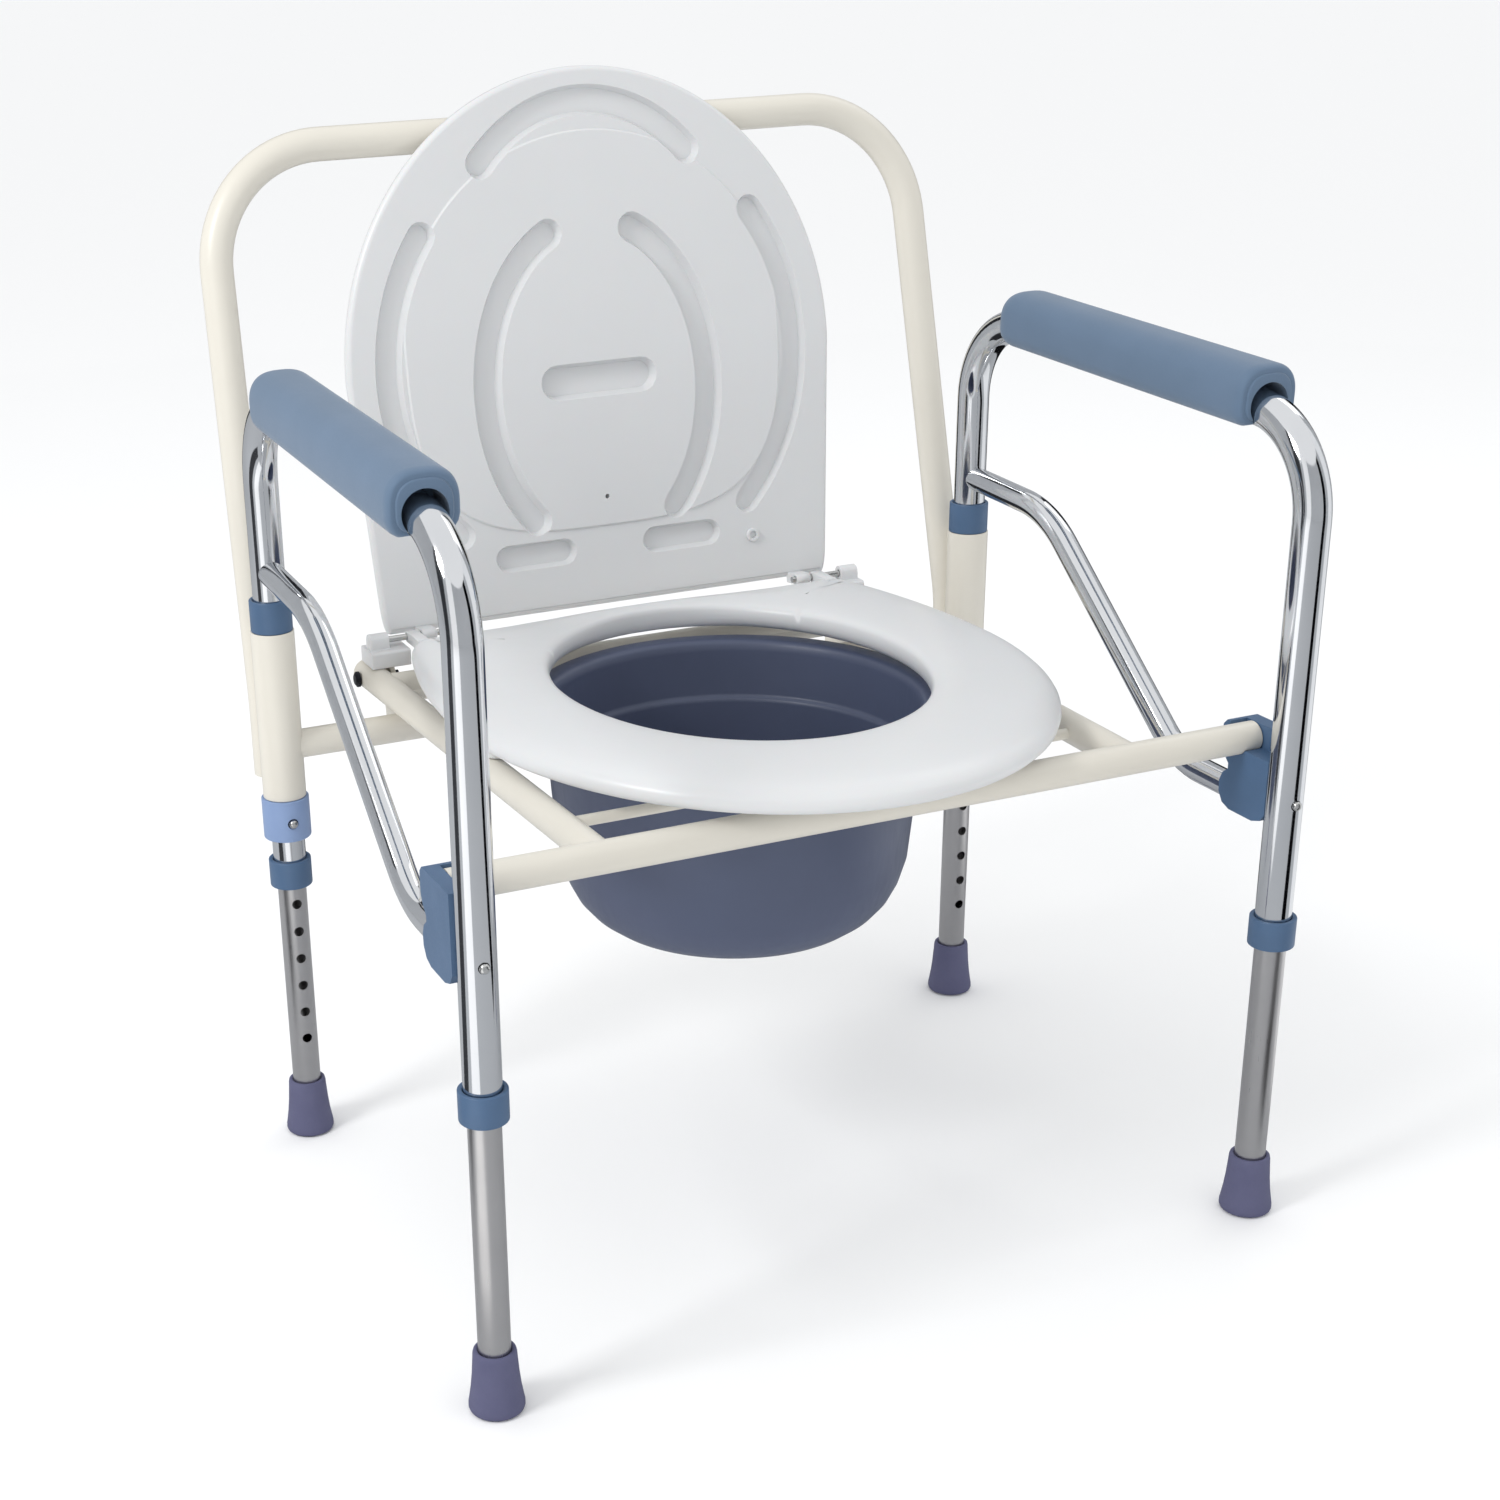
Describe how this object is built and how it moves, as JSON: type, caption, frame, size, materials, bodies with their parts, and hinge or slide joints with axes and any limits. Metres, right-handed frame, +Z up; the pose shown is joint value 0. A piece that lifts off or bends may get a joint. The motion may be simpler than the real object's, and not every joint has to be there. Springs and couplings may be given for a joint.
{
  "type": "commode chair",
  "caption": "Folding bedside commode chair with height-adjustable legs, padded arms, hinged seat and lid, and a lift-out bucket.",
  "frame": {"origin": "on the floor, under the middle of the chair's outer box", "axes": "+Z up, the chair faces -Y, so -X is its left side as the camera sees it and +X its right side"},
  "size_m": [0.65, 0.5728, 0.8016],
  "materials": {
    "cream_powder_coat": "satin powder coat",
    "chrome_plate": "bright plated",
    "arm_pad_blue": "matte moulded foam skin",
    "dark_blue_nylon": "satin moulded",
    "light_blue_nylon": "satin moulded",
    "satin_aluminium": "satin",
    "foot_rubber": "matte",
    "white_plastic": "semi-gloss moulded",
    "bucket_plastic": "satin moulded",
    "zinc_steel": "zinc plated",
    "dark_steel": "black oxide"
  },
  "bodies": {
    "frame": {"back_tube": "cream_powder_coat", "left_sleeve": "cream_powder_coat", "right_sleeve": "cream_powder_coat", "left_sleeve_bush": "dark_blue_nylon", "right_sleeve_bush": "dark_blue_nylon", "left_pivot_bracket": "cream_powder_coat", "right_pivot_bracket": "cream_powder_coat", "lower_cross_tube": "cream_powder_coat", "seat_front_tube": "cream_powder_coat", "left_seat_side_tube": "cream_powder_coat", "right_seat_side_tube": "cream_powder_coat", "seat_rear_tube": "cream_powder_coat", "front_bucket_rod": "cream_powder_coat", "rear_bucket_rod": "cream_powder_coat", "left_pivot_bolt": "dark_steel", "right_pivot_bolt": "dark_steel", "left_hinge_block": "white_plastic", "right_hinge_block": "white_plastic", "left_hinge_pin": "zinc_steel", "right_hinge_pin": "zinc_steel"},
    "left_side_frame": {"left_arm_tube": "chrome_plate", "left_brace_tube": "chrome_plate", "left_arm_pad": "arm_pad_blue", "front_left_pad_screw": "zinc_steel", "rear_left_pad_screw": "zinc_steel", "left_seat_clip": "dark_blue_nylon", "left_retaining_collar": "light_blue_nylon", "front_left_ring_collar": "dark_blue_nylon", "rear_left_ring_collar": "dark_blue_nylon"},
    "front_left_leg": {"front_left_inner_leg": "satin_aluminium", "front_left_foot": "foot_rubber"},
    "front_left_button": {"front_left_leg_button": "zinc_steel"},
    "rear_left_leg": {"rear_left_inner_leg": "satin_aluminium", "rear_left_foot": "foot_rubber"},
    "rear_left_button": {"rear_left_leg_button": "zinc_steel"},
    "right_side_frame": {"right_arm_tube": "chrome_plate", "right_brace_tube": "chrome_plate", "right_arm_pad": "arm_pad_blue", "front_right_pad_screw": "zinc_steel", "rear_right_pad_screw": "zinc_steel", "right_seat_clip": "dark_blue_nylon", "right_retaining_collar": "light_blue_nylon", "front_right_ring_collar": "dark_blue_nylon", "rear_right_ring_collar": "dark_blue_nylon"},
    "front_right_leg": {"front_right_inner_leg": "satin_aluminium", "front_right_foot": "foot_rubber"},
    "front_right_button": {"front_right_leg_button": "zinc_steel"},
    "rear_right_leg": {"rear_right_inner_leg": "satin_aluminium", "rear_right_foot": "foot_rubber"},
    "rear_right_button": {"rear_right_leg_button": "zinc_steel"},
    "seat": {"seat": "white_plastic", "left_seat_buffer": "white_plastic", "right_seat_buffer": "white_plastic"},
    "lid": {"lid": "white_plastic"},
    "bucket": {"bucket": "bucket_plastic"}
  },
  "joints": [
    {"name": "left_frame_swing", "type": "hinge", "parent": "frame", "child": "left_side_frame", "pos_m": [-0.301, 0.1536, 0.35], "axis": [0, 0, -1], "range_deg": [0, 20]},
    {"name": "front_left_leg_slide", "type": "slide", "parent": "left_side_frame", "child": "front_left_leg", "axis": [0, 0, 1], "range_m": [0, 0.0932]},
    {"name": "front_left_button_press", "type": "slide", "parent": "left_side_frame", "child": "front_left_button", "axis": [0, 1, 0], "range_m": [0, 0.003], "stiffness_N_per_m": 1500, "springref_m": -0.003},
    {"name": "rear_left_leg_slide", "type": "slide", "parent": "left_side_frame", "child": "rear_left_leg", "axis": [0, 0, 1], "range_m": [0, 0.1631]},
    {"name": "rear_left_button_press", "type": "slide", "parent": "left_side_frame", "child": "rear_left_button", "axis": [0, 1, 0], "range_m": [0, 0.003], "stiffness_N_per_m": 1500, "springref_m": -0.003},
    {"name": "right_frame_swing", "type": "hinge", "parent": "frame", "child": "right_side_frame", "pos_m": [0.301, 0.1536, 0.35], "axis": [0, 0, 1], "range_deg": [0, 20]},
    {"name": "front_right_leg_slide", "type": "slide", "parent": "right_side_frame", "child": "front_right_leg", "axis": [0, 0, 1], "range_m": [0, 0.0932]},
    {"name": "front_right_button_press", "type": "slide", "parent": "right_side_frame", "child": "front_right_button", "axis": [0, 1, 0], "range_m": [0, 0.003], "stiffness_N_per_m": 1500, "springref_m": -0.003},
    {"name": "rear_right_leg_slide", "type": "slide", "parent": "right_side_frame", "child": "rear_right_leg", "axis": [0, 0, 1], "range_m": [0, 0.1631]},
    {"name": "rear_right_button_press", "type": "slide", "parent": "right_side_frame", "child": "rear_right_button", "axis": [0, 1, 0], "range_m": [0, 0.003], "stiffness_N_per_m": 1500, "springref_m": -0.003},
    {"name": "lid_hinge", "type": "hinge", "parent": "frame", "child": "lid", "pos_m": [0, 0.1906, 0.39], "axis": [-1, 0, 0], "range_deg": [-96.84, 0]},
    {"name": "seat_hinge", "type": "hinge", "parent": "frame", "child": "seat", "pos_m": [0, 0.1906, 0.39], "axis": [-1, 0, 0], "range_deg": [0, 95]},
    {"name": "bucket_lift", "type": "slide", "parent": "frame", "child": "bucket", "axis": [0, 0, 1], "range_m": [0, 0.006]}
  ]
}
